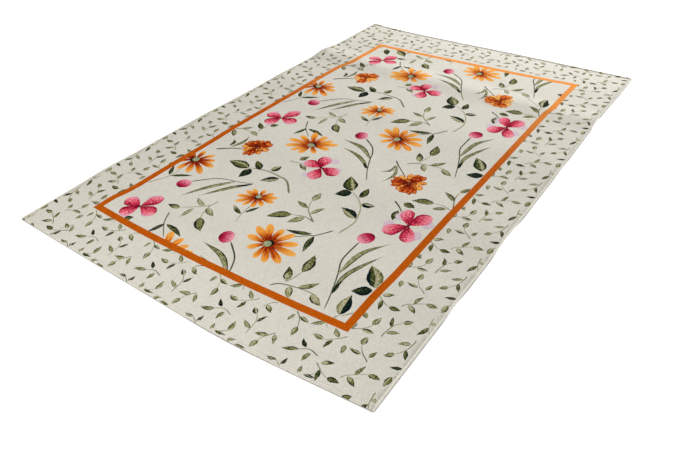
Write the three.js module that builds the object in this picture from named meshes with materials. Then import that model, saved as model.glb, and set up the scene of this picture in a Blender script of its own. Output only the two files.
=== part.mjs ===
// A flat woven rug as it lies on a floor: one printed cloth with a narrow turned hem at both
// short ends, and an overcast yarn edge along each long side.
// Millimetres, +Z up, +X across the rug, +Y along it, the underside on Z = 0.
import * as THREE from 'three';

// The rug's flat size, measured from corner to corner
const WIDTH = 1200;
const LENGTH = 1800;

const CLOTH_THICK = 3;
// The cloth is turned under at both short ends: the hem is two layers thick, with a rounded fold
const HEM = { depth: 10, step: 2, thick: 5, foldRound: 1.5 };
// Yarn wound over each long edge, with a rounded section
const OVERCAST = { width: 7, thick: 4.6, round: 1.3 };
const GAP = 0.3;

// How far each edge lies outside the straight line between its corners.
// Columns: place along the edge (mm), distance outwards (mm)
const NEAR_BOW = [[0, 0], [240, 7.5], [600, 17], [810, 21.5], [960, 15], [1200, 0]];
const FAR_BOW = [[0, 3], [150, -8], [400, -6], [680, 2], [1000, 6], [1200, 9]];
const LEFT_BOW = [[0, 0], [300, 12.5], [620, 14.5], [1080, 6], [1300, 5], [1550, -2], [1800, -6]];
const RIGHT_BOW = [[0, 1], [500, -1], [1200, -2.5], [1450, -5.5], [1650, 0], [1800, 0]];

// Soft waves that lift the cloth off the floor in rows across the rug, left by its folding.
// left and right are a wave's places on those edges, highLeft and highRight its heights there
const WAVES = [
  { left: 300, right: 345, half: 120, highLeft: 2.5, highRight: 5 },
  { left: 730, right: 640, half: 170, highLeft: 2, highRight: 7 },
  { left: 1110, right: 1045, half: 140, highLeft: 2.5, highRight: 4 },
  { left: 1410, right: 1385, half: 95, highLeft: 8, highRight: 6.5 },
];
// The near hem stands a little off the floor at one place
const HEM_LIFT = { at: 815, half: 150, reach: 70, height: 2.5 };

// Steps of the cloth across and along, between its hems
const STEPS_ACROSS = 16;
const STEPS_ALONG = 52;

const COLOURS = { cloth: 0xd9d6ca, overcast: 0xe4dcc2 };

// A smooth curve through a table's rows, whose first column rises
function curve(rows, at) {
  const last = rows.length - 2;
  const i = Math.min(last, Math.max(0, rows.findLastIndex(([place]) => place <= at)));
  const slope = (k) => {
    const [before, after] = [rows[Math.max(0, k - 1)], rows[Math.min(rows.length - 1, k + 1)]];
    return (after[1] - before[1]) / (after[0] - before[0]);
  };
  const [[x0, y0], [x1, y1]] = [rows[i], rows[i + 1]];
  const span = x1 - x0;
  const t = (at - x0) / span;
  return (2 * t ** 3 - 3 * t ** 2 + 1) * y0 + (t ** 3 - 2 * t ** 2 + t) * span * slope(i)
    + (3 * t ** 2 - 2 * t ** 3) * y1 + (t ** 3 - t ** 2) * span * slope(i + 1);
}

// A rounded bump from 1 at its middle to 0 at its half width
function bump(distance, half) {
  return Math.abs(distance) < half ? (1 + Math.cos(Math.PI * distance / half)) / 2 : 0;
}

// Where a place on the flat rug lies in plan
function plan(across, along) {
  const s = across / WIDTH;
  const t = along / LENGTH;
  const x = across - curve(LEFT_BOW, along) * (1 - s) + curve(RIGHT_BOW, along) * s;
  const y = along - curve(NEAR_BOW, across) * (1 - t) + curve(FAR_BOW, across) * t;
  return [x, y];
}

// How high the underside stands off the floor at that place
function lift(across, along) {
  const s = across / WIDTH;
  let height = 0;
  for (const wave of WAVES) {
    const ridge = THREE.MathUtils.lerp(wave.left, wave.right, s);
    height += THREE.MathUtils.lerp(wave.highLeft, wave.highRight, s) * bump(along - ridge, wave.half);
  }
  const inwards = Math.max(0, 1 - along / HEM_LIFT.reach);
  return height + HEM_LIFT.height * bump(across - HEM_LIFT.at, HEM_LIFT.half) * inwards ** 2;
}

// The places along the rug at which every solid has a row of points
const regular = Array.from({ length: STEPS_ALONG - 1 }, (_, i) => LENGTH * (i + 1) / STEPS_ALONG);
const hemRows = [0, HEM.foldRound, HEM.depth, HEM.depth + HEM.step];
const ROWS = [...hemRows, ...regular, ...hemRows.map((row) => LENGTH - row).reverse()];

// The cloth's thickness at a distance from the nearest short end
function thickness(fromEnd) {
  const step = THREE.MathUtils.clamp((fromEnd - HEM.depth) / HEM.step, 0, 1);
  return THREE.MathUtils.lerp(HEM.thick, CLOTH_THICK, step);
}

// The middle of the rug's outline, which becomes the origin
const outline = new THREE.Box2();
for (const along of ROWS) {
  for (let i = 0; i <= STEPS_ACROSS; i += 1) {
    outline.expandByPoint(new THREE.Vector2(...plan(WIDTH * i / STEPS_ACROSS, along)));
  }
}
const centre = outline.getCenter(new THREE.Vector2());

function point(across, along, aboveUnderside) {
  const [x, y] = plan(across, along);
  return [x - centre.x, y - centre.y, lift(across, along) + aboveUnderside];
}

function mesh(name, positions, triangles, colour) {
  const geometry = new THREE.BufferGeometry();
  geometry.setAttribute('position', new THREE.Float32BufferAttribute(positions.flat(), 3));
  geometry.setIndex(triangles.flat());
  geometry.computeVertexNormals();
  const material = new THREE.MeshStandardMaterial({ color: colour, roughness: 0.9, metalness: 0 });
  const made = new THREE.Mesh(geometry, material);
  made.name = name;
  return made;
}

const quad = (a, b, c, d) => [[a, b, c], [a, c, d]];

// The cloth: an upper and a lower grid that meet in the fold at each short end
function cloth() {
  const from = OVERCAST.width + GAP;
  const step = (WIDTH - 2 * from) / STEPS_ACROSS;
  const columns = Array.from({ length: STEPS_ACROSS + 1 }, (_, i) => from + step * i);
  const wide = columns.length;
  const positions = [];
  const upper = [];
  const lower = [];
  ROWS.forEach((along, row) => {
    const isFold = row === 0 || row === ROWS.length - 1;
    const top = isFold ? HEM.thick / 2 : thickness(Math.min(along, LENGTH - along));
    upper.push(positions.length);
    positions.push(...columns.map((across) => point(across, along, top)));
    lower.push(isFold ? upper[row] : positions.length);
    if (!isFold) {
      positions.push(...columns.map((across) => point(across, along, 0)));
    }
  });
  const triangles = [];
  for (let row = 0; row < ROWS.length - 1; row += 1) {
    const [a, b, c, d] = [upper[row], upper[row + 1], lower[row], lower[row + 1]];
    for (let i = 0; i < wide - 1; i += 1) {
      triangles.push(...quad(a + i, a + i + 1, b + i + 1, b + i));
      triangles.push(...quad(c + i, d + i, d + i + 1, c + i + 1));
    }
    // the cut sides, which close to a point at the fold
    const end = wide - 1;
    const sides = [...quad(a, b, d, c), ...quad(c + end, d + end, b + end, a + end)];
    triangles.push(...sides.filter((triangle) => new Set(triangle).size === 3));
  }
  return mesh('rug_cloth', positions, triangles, COLOURS.cloth);
}

// An overcast edge: a rounded bar that follows one long side
function overcast(name, outer, inwards) {
  const { width, thick, round } = OVERCAST;
  const section = [
    [0, thick - round], [0, round], [round, 0], [width - round, 0],
    [width, round], [width, thick - round], [width - round, thick], [round, thick],
  ];
  const turns = section.length;
  const positions = ROWS.flatMap((along) => section.map(([inside, height]) => (
    point(outer + inwards * inside, along, height))));
  const triangles = [];
  const side = (a, b, c, d) => triangles.push(...(inwards > 0 ? quad(a, b, c, d) : quad(d, c, b, a)));
  for (let row = 0; row < ROWS.length - 1; row += 1) {
    for (let i = 0; i < turns; i += 1) {
      const [a, b] = [row * turns + i, row * turns + (i + 1) % turns];
      side(a, a + turns, b + turns, b);
    }
  }
  const lastRow = (ROWS.length - 1) * turns;
  for (let i = 1; i < turns - 1; i += 1) {
    const [near, far] = [[0, i, i + 1], [lastRow, lastRow + i + 1, lastRow + i]];
    triangles.push(...(inwards > 0 ? [near, far] : [near.reverse(), far.reverse()]));
  }
  return mesh(name, positions, triangles, COLOURS.overcast);
}

const rug = new THREE.Group();
rug.add(
  cloth(),
  overcast('overcast_edge_left', 0, 1),
  overcast('overcast_edge_right', WIDTH, -1),
);

export default rug;
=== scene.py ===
# %% [markdown]
# # A flat woven rug with a printed flower field
# The real rug is one thin woven cloth. Its print shows flowers inside an orange line, and leaf
# sprigs in the border. Both short ends are turned under in a narrow hem, and ivory yarn is wound
# over both long edges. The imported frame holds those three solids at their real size. This script
# gives them their looks, and it works in millimetres until a mesh is made, in metres.

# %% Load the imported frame
import math
import random
import bpy
import numpy as np
from mathutils import Matrix, Vector, kdtree
from mathutils.geometry import delaunay_2d_cdt


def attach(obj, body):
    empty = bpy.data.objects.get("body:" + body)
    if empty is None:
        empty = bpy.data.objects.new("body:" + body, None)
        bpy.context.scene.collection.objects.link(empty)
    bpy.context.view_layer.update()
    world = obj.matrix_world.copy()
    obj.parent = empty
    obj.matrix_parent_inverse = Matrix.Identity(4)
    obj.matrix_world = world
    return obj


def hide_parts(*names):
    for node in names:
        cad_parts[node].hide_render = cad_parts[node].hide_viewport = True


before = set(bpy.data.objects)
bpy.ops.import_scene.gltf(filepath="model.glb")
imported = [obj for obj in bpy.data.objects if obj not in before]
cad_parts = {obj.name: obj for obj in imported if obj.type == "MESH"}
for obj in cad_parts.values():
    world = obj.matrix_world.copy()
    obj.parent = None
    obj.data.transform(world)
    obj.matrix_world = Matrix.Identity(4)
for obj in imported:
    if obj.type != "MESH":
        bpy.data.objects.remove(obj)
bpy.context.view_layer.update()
MM = 0.001
print("nodes:", ", ".join(sorted(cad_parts)))

# %% [markdown]
# ## How the cloth lies
# The edges of the real rug bow out a little, and soft waves cross it where it had been folded.
# The solids were made from the short tables below, so the same tables lay the printed cloth
# exactly on them. A place on the cloth is given by how far it is across and along, measured on
# the flat cloth from its left near corner.

# %% The tables and curves of the lie
WIDTH, LENGTH = 1200, 1800
CLOTH_THICK = 3
HEM_DEPTH, HEM_STEP, HEM_THICK, HEM_ROUND = 10, 2, 5, 1.5
OVERCAST_WIDTH, OVERCAST_THICK = 7, 4.6

# columns: place along the edge, distance outwards
NEAR_BOW = [[0, 0], [240, 7.5], [600, 17], [810, 21.5], [960, 15], [1200, 0]]
FAR_BOW = [[0, 3], [150, -8], [400, -6], [680, 2], [1000, 6], [1200, 9]]
LEFT_BOW = [[0, 0], [300, 12.5], [620, 14.5], [1080, 6], [1300, 5], [1550, -2], [1800, -6]]
RIGHT_BOW = [[0, 1], [500, -1], [1200, -2.5], [1450, -5.5], [1650, 0], [1800, 0]]

# columns: place on the left edge, on the right edge, half width, height at left, at right
WAVES = [
    [300, 345, 120, 2.5, 5],
    [730, 640, 170, 2, 7],
    [1110, 1045, 140, 2.5, 4],
    [1410, 1385, 95, 8, 6.5],
]
HEM_LIFT_AT, HEM_LIFT_HALF, HEM_LIFT_REACH, HEM_LIFT_HEIGHT = 815, 150, 70, 2.5


def curve(rows, at):
    """A smooth curve through a table's rows, whose first column rises."""
    places, values = np.array(rows, float).T
    row = np.arange(len(places))
    before, after = np.maximum(row - 1, 0), np.minimum(row + 1, len(places) - 1)
    slopes = (values[after] - values[before]) / (places[after] - places[before])
    i = np.clip(np.searchsorted(places, at, side="right") - 1, 0, len(places) - 2)
    span = places[i + 1] - places[i]
    t = (at - places[i]) / span
    ends = (2 * t**3 - 3 * t**2 + 1) * values[i] + (3 * t**2 - 2 * t**3) * values[i + 1]
    return ends + span * ((t**3 - 2 * t**2 + t) * slopes[i] + (t**3 - t**2) * slopes[i + 1])


def bump(distance, half):
    """A rounded bump from 1 at its middle to 0 at its half width."""
    inside = np.clip(np.abs(distance) / half, 0, 1)
    return (1 + np.cos(np.pi * inside)) / 2


def plan(across, along):
    """Where a place on the flat rug lies in plan."""
    s, t = across / WIDTH, along / LENGTH
    x = across - curve(LEFT_BOW, along) * (1 - s) + curve(RIGHT_BOW, along) * s
    y = along - curve(NEAR_BOW, across) * (1 - t) + curve(FAR_BOW, across) * t
    return x, y


def lift(across, along):
    """How high the underside stands off the floor."""
    s = across / WIDTH
    height = 0
    for left, right, half, high_left, high_right in WAVES:
        ridge = left + (right - left) * s
        height = height + (high_left + (high_right - high_left) * s) * bump(along - ridge, half)
    inwards = np.clip(1 - along / HEM_LIFT_REACH, 0, 1)
    return height + HEM_LIFT_HEIGHT * bump(across - HEM_LIFT_AT, HEM_LIFT_HALF) * inwards**2


# the solids' own rows and columns of points, whose box gives the origin
STEPS_ACROSS, STEPS_ALONG = 16, 52
HEM_ROWS = [0, HEM_ROUND, HEM_DEPTH, HEM_DEPTH + HEM_STEP]
ROWS = [
    *HEM_ROWS, *(LENGTH * i / STEPS_ALONG for i in range(1, STEPS_ALONG)),
    *(LENGTH - row for row in HEM_ROWS),
]
COLUMNS = [WIDTH * i / STEPS_ACROSS for i in range(STEPS_ACROSS + 1)]
grid_x, grid_y = plan(*np.meshgrid(COLUMNS, ROWS))
CENTRE = ((grid_x.min() + grid_x.max()) / 2, (grid_y.min() + grid_y.max()) / 2)


def laid(across, along, above):
    """Points in metres, a height above the lifted underside."""
    x, y = plan(across, along)
    z = lift(across, along) + above
    return np.column_stack([x - CENTRE[0], y - CENTRE[1], z]) * MM


print("origin, in plan from the left near corner:", [round(float(c), 1) for c in CENTRE])

# %% [markdown]
# ## A print made of brush strokes
# A print like this is painted first, with one brush stroke for each leaf, stem and petal. So
# here each of them is a stroke too: a centre line, a width along it, and a few tones. The
# strokes are later cut into the cloth's own mesh, so that the print has crisp edges from
# any distance and needs no picture. The places were read off the rug, as a weaver's chart,
# and the shapes are formulas.

# %% Strokes
random.seed(7)
rng = np.random.default_rng(7)
strokes = []

# tones of a leaf, from 0 pale to 1 black: its left half, its right half and its tip,
# where -1 leaves the tip as the halves are
TONES = {
    "pale": (0.12, 0.24, 0.34),
    "mid": (0.3, 0.42, 0.5),
    "olive": (0.42, 0.54, 0.6),
    "dark": (0.8, 0.66, 0.82),
    "black": (1.0, 0.9, 0.95),
    "tipped": (0.16, 0.3, 0.8),
    "left dark": (0.82, 0.2, -1),
    "right dark": (0.2, 0.82, -1),
    "left olive": (0.56, 0.24, -1),
    "green": (0.66, 0.58, 0.76),
    "left green": (0.74, 0.28, -1),
    "green foot": (0.96, 0.7, 0.6),
    "right black": (0.18, 1.05, -1),
    "dark foot": (0.98, 0.74, 0.2),
}

# a stroke's half width along it, as a share of its widest
PROFILES = {
    "leaf": lambda t: np.sin(np.pi * t**0.78) ** 1.04,
    "blade": lambda t: (0.22 + 0.78 * np.sin(np.pi * t**0.85)) * (1 - t**5),
    "stem": lambda t: (1 - 0.4 * t) * np.clip(0.4 + 12 * np.minimum(t, 1 - t), 0, 1),
    "petal": lambda t: np.minimum(1, 0.4 + 0.9 * t) * np.sqrt(1 - np.clip((t - 0.6) / 0.4, 0, 1) ** 2.2),
    "fan": lambda t: np.sin(np.pi * t**1.62) ** 0.56,
    "disc": lambda t: np.sqrt(np.clip(1 - (2 * t - 1) ** 2, 0, 1)),
}
ROUND_ENDED = {"petal", "fan", "disc"}


def smooth_line(points, spacing, round_ended=False):
    """Points on a smooth line through the given ones, closer at the ends of a rounded stroke."""
    points = np.array(points, float)
    padded = np.vstack([2 * points[0] - points[1], points, 2 * points[-1] - points[-2]])
    t = np.linspace(0, 1, 16, endpoint=False)[:, None]
    pieces = []
    for a, b, c, d in zip(padded, padded[1:], padded[2:], padded[3:]):
        bend = (2 * a - 5 * b + 4 * c - d) * t**2 + (3 * b - a - 3 * c + d) * t**3
        pieces.append((2 * b + (c - a) * t + bend) / 2)
    fine = np.vstack(pieces + [points[-1:]])
    walked = np.concatenate([[0], np.cumsum(np.linalg.norm(np.diff(fine, axis=0), axis=1))])
    steps = np.linspace(0, 1, max(4, round(walked[-1] / spacing)) + 1)
    if round_ended:
        steps = (1 - np.cos(np.pi * steps)) / 2
    return steps, np.column_stack([np.interp(steps * walked[-1], walked, fine[:, k]) for k in (0, 1)])


def stroke(group, kind, shape, points, width, tones, rough=0.3, spacing=3.6, ruffle=0.0):
    """Adds one brush stroke to a group of strokes."""
    steps, line = smooth_line(points, spacing, shape in ROUND_ENDED)
    half = PROFILES[shape](steps) * width / 2
    waves = np.sin(steps * math.tau * 1.7 + random.uniform(0, math.tau))
    half = half * (1 + ruffle * waves * steps)
    tones = TONES[tones] if isinstance(tones, str) else tones
    group.append(dict(kind=kind, line=line, steps=steps, half=half, tones=tones, rough=rough))


def towards(x, y, degrees, length):
    """The point at a length and direction from a point."""
    turn = math.radians(degrees)
    return x + length * math.cos(turn), y + length * math.sin(turn)


def leaf(group, base_x, base_y, tip_x, tip_y, width, tones):
    """One leaf, a little bent to one side."""
    bend = random.uniform(-0.07, 0.07)
    middle_x = (base_x + tip_x) / 2 - (tip_y - base_y) * bend
    middle_y = (base_y + tip_y) / 2 + (tip_x - base_x) * bend
    rough = 0.6 if width > 20 else 0.4
    points = [(base_x, base_y), (middle_x, middle_y), (tip_x, tip_y)]
    stroke(group, "leaf", "leaf", points, width, tones, rough=rough)


print("tones:", len(TONES), "stroke shapes:", len(PROFILES))

# %% [markdown]
# ## The field's sprigs
# Inside the orange line, thin stems carry leaves of several greens, from pale olive to nearly
# black, and many leaves are dark in one half only. This is the chart of one repeat, in mm from
# the left near corner.

# %% Chart of the field's stems and leaves
# columns: width at the foot, tone from 0 pale to 1 dark, then the points that the stem passes
FIELD_STEMS = [
    [4.5, 0.85, (268, 392), (280, 404), (330, 450), (400, 470), (445, 485)],
    [5, 0.85, (580, 243), (630, 205), (655, 168), (665, 143), (695, 83), (730, 28)],
    [4.8, 0.85, (873, 425), (873, 375), (878, 335), (900, 290), (925, 230), (945, 175)],
    [3.8, 0.45, (418, 362), (412, 335), (385, 310), (345, 282)],
    [3.4, 0.5, (412, 335), (420, 300), (432, 275)],
    [4.4, 0.8, (335, 248), (362, 205), (410, 160)],
    [4.4, 0.3, (160, 318), (188, 380), (187, 430)],
    [3.2, 0.5, (512, 395), (518, 350), (527, 315)],
    [4, 0.5, (715, 430), (680, 437), (640, 425)],
    [4.4, 0.45, (715, 430), (700, 440), (665, 470), (647, 508)],
    [4.6, 0.75, (785, 428), (755, 383), (745, 378), (705, 345)],
    [4, 0.55, (780, 170), (800, 188), (850, 200), (890, 202), (905, 198)],
    [3.6, 0.5, (805, 200), (815, 225), (818, 250)],
    [6.5, 0.6, (565, 503), (520, 548), (480, 558), (430, 562), (385, 552), (372, 548)],
    [7, 0.95, (195, 575), (235, 605), (270, 622)],
    [4.4, 0.55, (155, 712), (175, 722), (212, 722)],
    [3.6, 0.5, (240, 108), (240, 163)],
    [3.8, 0.5, (450, 645), (480, 650), (505, 655)],
    [5.4, 0.12, (803, 425), (812, 480), (808, 505), (790, 550), (760, 585), (720, 610)],
    [5, 0.85, (740, 825), (755, 808), (805, 765), (820, 750)],
    [4, 0.6, (1013, 690), (1000, 720), (993, 745), (993, 770)],
    [3.6, 0.4, (1010, 678), (985, 687), (955, 683)],
    [5.5, 0.98, (853, 635), (875, 620), (897, 600)],
    [3.2, 0.5, (885, 605), (882, 590)],
]
# columns: foot x, foot y, tip x, tip y, width, tones
FIELD_LEAVES = [
    [345, 280, 300, 275, 18, "tipped"],
    [398, 323, 352, 343, 15, "pale"],
    [380, 300, 378, 245, 14, "pale"],
    [413, 322, 457, 300, 20, "pale"],
    [430, 278, 476, 232, 30, "olive"],
    [365, 205, 352, 150, 14, "dark"],
    [372, 205, 450, 185, 16, "dark"],
    [183, 385, 155, 430, 14, "dark"],
    [190, 383, 250, 420, 13, "dark"],
    [515, 350, 465, 375, 14, "dark foot"],
    [520, 362, 540, 405, 12, "dark"],
    [640, 425, 583, 380, 30, "olive"],
    [680, 435, 650, 390, 22, "pale"],
    [745, 385, 668, 362, 16, "dark"],
    [755, 380, 770, 310, 18, "green foot"],
    [818, 250, 805, 320, 29, "olive"],
    [803, 203, 778, 250, 23, "tipped"],
    [845, 200, 882, 242, 16, "mid"],
    [888, 200, 932, 178, 21, "pale"],
    [825, 193, 850, 158, 19, "pale"],
    [647, 508, 645, 556, 21, "pale"],
    [660, 473, 610, 487, 15, "mid"],
    [683, 455, 703, 500, 15, "pale"],
    [368, 545, 282, 545, 40, "left green"],
    [405, 555, 358, 592, 24, "green foot"],
    [375, 545, 375, 488, 32, "black"],
    [437, 568, 450, 608, 24, "right dark"],
    [490, 548, 445, 507, 26, "right black"],
    [212, 725, 255, 710, 18, "pale"],
    [170, 722, 200, 752, 14, "pale"],
    [155, 705, 185, 668, 18, "mid"],
    [250, 155, 268, 178, 21, "green"],
    [240, 125, 200, 160, 19, "green"],
    [475, 665, 490, 697, 20, "olive"],
    [490, 648, 530, 625, 18, "mid"],
    [718, 612, 670, 675, 44, "left green"],
    [722, 605, 682, 572, 33, "black"],
    [755, 595, 752, 650, 23, "green foot"],
    [778, 572, 820, 582, 21, "right black"],
    [805, 505, 738, 528, 30, "right black"],
    [993, 770, 1010, 808, 16, "mid"],
    [998, 722, 952, 752, 16, "olive"],
    [955, 683, 893, 663, 28, "olive"],
    [998, 678, 962, 655, 16, "mid"],
    [880, 640, 920, 635, 22, "green"],
    [885, 600, 895, 553, 20, "green"],
]
# long grass leaves: width, tones, then the points from foot to tip
FIELD_BLADES = [
    [15, "mid", (385, 464), (335, 395), (296, 318)],
    [14, "dark foot", (440, 482), (395, 430), (344, 348)],
    [17, "mid", (665, 141), (600, 188), (512, 205)],
    [15, "dark foot", (690, 86), (655, 118), (610, 143), (547, 160)],
    [16, "mid", (898, 296), (905, 390), (948, 464)],
    [14, "dark foot", (928, 228), (918, 290), (930, 340), (960, 412)],
    [13, "mid", (228, 612), (240, 655), (233, 697)],
    [12, "dark", (218, 615), (215, 640), (200, 652)],
    [10, "mid", (757, 800), (778, 750), (767, 700)],
    [10, "mid", (753, 800), (755, 765), (730, 743)],
]


def sprigs(group, stems, leaves, blades=()):
    """Adds a chart's stems, then its leaves over them."""
    for width, tone, *points in stems:
        tone += random.uniform(-0.12, 0.12)
        stroke(group, "stem", "stem", points, width, (tone, tone, tone), rough=0.15)
    for row in leaves:
        leaf(group, *row)
    for width, tones, *points in blades:
        dark_foot = tones == "dark foot"
        stroke(group, "leaf", "blade", points, width, "mid" if dark_foot else tones, rough=0.2)
        if dark_foot:
            (x0, y0), (x1, y1) = points[:2]
            foot = [points[0], (x0 + 0.8 * (x1 - x0), y0 + 0.8 * (y1 - y0))]
            stroke(group, "leaf", "leaf", foot, 0.7 * width, "black", rough=0.3)


field = []
sprigs(field, FIELD_STEMS, FIELD_LEAVES, FIELD_BLADES)
print("strokes in one field repeat so far:", len(field))

# %% [markdown]
# ## The field's flowers
# There are four kinds: orange daisies with a grey eye, pink flowers of four broad petals with
# lilac lobes behind them, ruffled rust-coloured marigolds, and pink buds on long stems. A daisy
# is a ring of petals from one loop, with a little unevenness, as a painter's hand gives.

# %% Chart of the flowers
# centre x, centre y, eye radius, side of its shadow, redness, petals as (direction, length)
DAISIES = [
    [670, 291, 13, 50, 0.5, [(0, 94), (28, 82), (61, 78), (94, 69), (127, 86), (151, 86), (181, 72),
                             (227, 57), (275, 65), (303, 76), (330, 91)]],
    [501, 440, 10, -90, 0.45, [(0, 59), (25, 59), (51, 47), (97, 38), (147, 48), (173, 53), (204, 65),
                               (230, 68), (257, 56), (291, 53), (324, 50)]],
    [185, 492, 13, 235, 0.75, [(357, 83), (23, 67), (55, 63), (102, 55), (149, 60), (180, 62), (217, 66),
                               (263, 71), (297, 78), (326, 94)]],
    [449, 760, 13, 60, 0.4, [(4, 69), (31, 88), (52, 74), (82, 72), (118, 84), (155, 76), (183, 91),
                             (210, 88), (237, 72), (266, 62), (317, 56)]],
]
# centre x, centre y, petals as (direction, length, width), lobes as (direction, distance, radius)
PINKS = [
    [240, 222, [(176, 65, 49), (70, 73, 47), (-4, 66, 51), (248, 60, 52)],
     [(157, 46, 15), (92, 44, 14), (261, 48, 15), (-18, 47, 15)]],
    [561, 665, [(176, 66, 46), (112, 66, 52), (-4, 69, 51), (-79, 68, 51)],
     [(72, 54, 15), (13, 55, 15), (184, 56, 15), (255, 56, 14)]],
    [946, 555, [(122, 75, 45), (63, 78, 54), (229, 76, 54), (-62, 74, 48)],
     [(146, 49, 17), (203, 54, 17), (34, 53, 17), (-36, 49, 18)]],
]
# centre x, centre y, then petals as (direction, length, width): pale ones behind, rust ones in front
MARIGOLDS = [
    [303, 653, [(106, 54, 20), (4, 52, 26), (320, 53, 20), (200, 55, 24), (236, 54, 24)],
     [(64, 56, 44), (140, 52, 34), (171, 54, 26), (273, 58, 34)]],
    [842, 735, [(113, 56, 26), (157, 55, 24), (248, 60, 20), (347, 56, 28), (31, 62, 22)],
     [(77, 60, 40), (185, 62, 32), (212, 60, 28), (279, 56, 33), (308, 59, 30)]],
]
# the width of every pink petal as a share of its charted one, and of a ruffled petal's lobe
PINK_SHARE, RUST_SHARE = 0.89, 0.62
# how much shorter and narrower a marigold's inner stroke is than the dark one under it
INK_TIP, INK_SIDES = 2.4, 6.2
# dark end x, dark end y, light end x, light end y, width
BUDS = [[256, 352, 261, 396, 46], [535, 244, 575, 262, 48], [888, 472, 869, 425, 45]]

first_pink = []
for number, (x, y, lobe_petals, lobes) in enumerate(PINKS):
    flower = first_pink if number == 0 else field
    for direction, distance, radius in lobes:
        ends = [towards(x, y, direction, distance + end) for end in (-radius, radius)]
        stroke(flower, "lobe", "disc", ends, 1.9 * radius, (0.4, 0.4, 0.4), rough=0.9, ruffle=0.12)
    for direction, length, width in lobe_petals:
        start, tip = towards(x, y, direction, 1), towards(x, y, direction, length)
        middle = towards(x, y, direction + random.uniform(-4, 4), length / 2)
        # a petal is darker on the side away from its lobe
        away = min(((lobe[0] - direction + 180) % 360 - 180 for lobe in lobes), key=abs)
        stroke(flower, "pink", "fan", [start, middle, tip], PINK_SHARE * width,
               (random.random(), random.random(), float(away > 0)), rough=0.5, ruffle=0.05)
    stroke(flower, "heart", "disc", [(x - 5, y), (x + 5, y)], 8, (1, 1, 1))

for x, y, pale_petals, rust_petals in MARIGOLDS:
    for tone, petals in ((0.1, pale_petals), (0.9, rust_petals)):
        for direction, length, width in petals:
            # a rust petal is ruffled: three lobes side by side
            ruffled = tone > 0.5
            wide = RUST_SHARE * width if ruffled else width
            spreads = [-0.32, 0.32, 0] if ruffled else [0]
            for spread in spreads:
                tip_direction = direction + math.degrees(spread * width / length)
                reach = length * (random.uniform(0.93, 1.03) if spread else random.uniform(0.86, 0.96))
                ends = [towards(x, y, direction, 2), towards(x, y, tip_direction, reach)]
                shade = tone + random.uniform(-0.1, 0.1)
                stroke(field, "marigold", "fan", ends, wide, (shade, 0.5, 1), rough=0.5, ruffle=0.06)
                inner = [ends[0], towards(x, y, tip_direction, reach - INK_TIP)]
                inner_tones = (shade, random.random(), 0)
                stroke(field, "marigold", "fan", inner, wide - INK_SIDES, inner_tones, rough=0.5)
    stroke(field, "heart", "disc", [(x - 5, y - 1), (x + 5, y + 1)], 9, (0.6, 0.6, 0.6), rough=0.6)

for x, y, eye, shadow_side, redness, petals in DAISIES:
    for direction, length in petals:
        start, tip = towards(x, y, direction, eye * 0.5), towards(x, y, direction, length)
        width = (1.05 * eye + 0.11 * length) * random.uniform(0.92, 1.08)
        shade = redness + random.uniform(-0.2, 0.2)
        stroke(field, "daisy", "petal", [start, tip], width, (shade, random.random(), shade), rough=0.4)
    # a black disc, and on it the eye itself, set off from its shadow
    for dark, radius, away in ((1, eye, 0.3 * eye), (0, 0.9 * eye, -0.15 * eye)):
        middle = towards(x, y, shadow_side, away)
        ends = [towards(*middle, shadow_side, end) for end in (radius, -radius)]
        stroke(field, "eye", "disc", ends, 2 * radius, (dark, dark, dark), rough=0.4)

for dark_x, dark_y, pale_x, pale_y, width in BUDS:
    ends = [(dark_x, dark_y), (pale_x, pale_y)]
    stroke(field, "bud", "disc", ends, width, (0.5, 0.5, 0.5), rough=0.5)
print("strokes in one field repeat:", len(field))

# %% [markdown]
# ## The border's sprigs
# The border is an all-over print of small leafy twigs. One repeat was charted for the side
# borders, at the right edge, and the left edge has its mirror image. Another was charted for
# the ends. Every repeat draws its strokes anew, so no two are quite alike, as on printed cloth.

# %% Chart of the side border
BORDER_STEM = 2.8
SIDE_STEMS = [
    [(1119, 98), (1111, 104), (1097, 113), (1085, 127), (1082, 134)],
    [(1176, 208), (1177, 200), (1174, 180), (1172, 173), (1165, 160), (1155, 148)],
    [(1191, 348), (1184, 340)],
    [(1092, 280), (1098, 292), (1113, 303), (1125, 312), (1137, 319)],
    [(1104, 176), (1104, 190), (1108, 212), (1113, 224), (1123, 236)],
    [(1033, 160), (1053, 172), (1065, 186), (1069, 194)],
    [(1025, 286), (1041, 276), (1055, 268), (1067, 264)],
    [(1176, 290), (1177, 276), (1181, 256), (1193, 236)],
]
# columns: foot x, foot y, tip x, tip y, width, tones
SIDE_LEAVES = [
    [1082, 132, 1080, 160, 15, "left olive"],
    [1095, 110, 1062, 112, 11, "left dark"],
    [1114, 110, 1122, 134, 11, "olive"],
    [1156, 150, 1137, 133, 13, "olive"],
    [1172, 172, 1185, 145, 10, "dark"],
    [1174, 193, 1146, 177, 11, "mid"],
    [1192, 123, 1165, 113, 10, "black"],
    [1183, 342, 1181, 310, 15, "left olive"],
    [1103, 293, 1132, 276, 13, "tipped"],
    [1113, 303, 1122, 336, 10, "olive"],
    [1137, 319, 1168, 321, 13, "olive"],
    [1123, 237, 1143, 254, 14, "olive"],
    [1108, 212, 1095, 241, 10, "dark"],
    [1107, 190, 1135, 207, 11, "mid"],
    [1068, 194, 1073, 226, 15, "left olive"],
    [1055, 171, 1087, 174, 12, "left dark"],
    [1068, 264, 1099, 267, 14, "dark"],
    [1042, 274, 1053, 242, 11, "dark"],
    [1033, 290, 1060, 306, 12, "tipped"],
    [1029, 220, 1046, 204, 13, "olive"],
    [1048, 360, 1055, 334, 12, "mid"],
    [1180, 256, 1167, 222, 11, "dark"],
    [1178, 274, 1192, 268, 10, "pale"],
    [1033, 183, 1036, 158, 10, "mid"],
]

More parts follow.
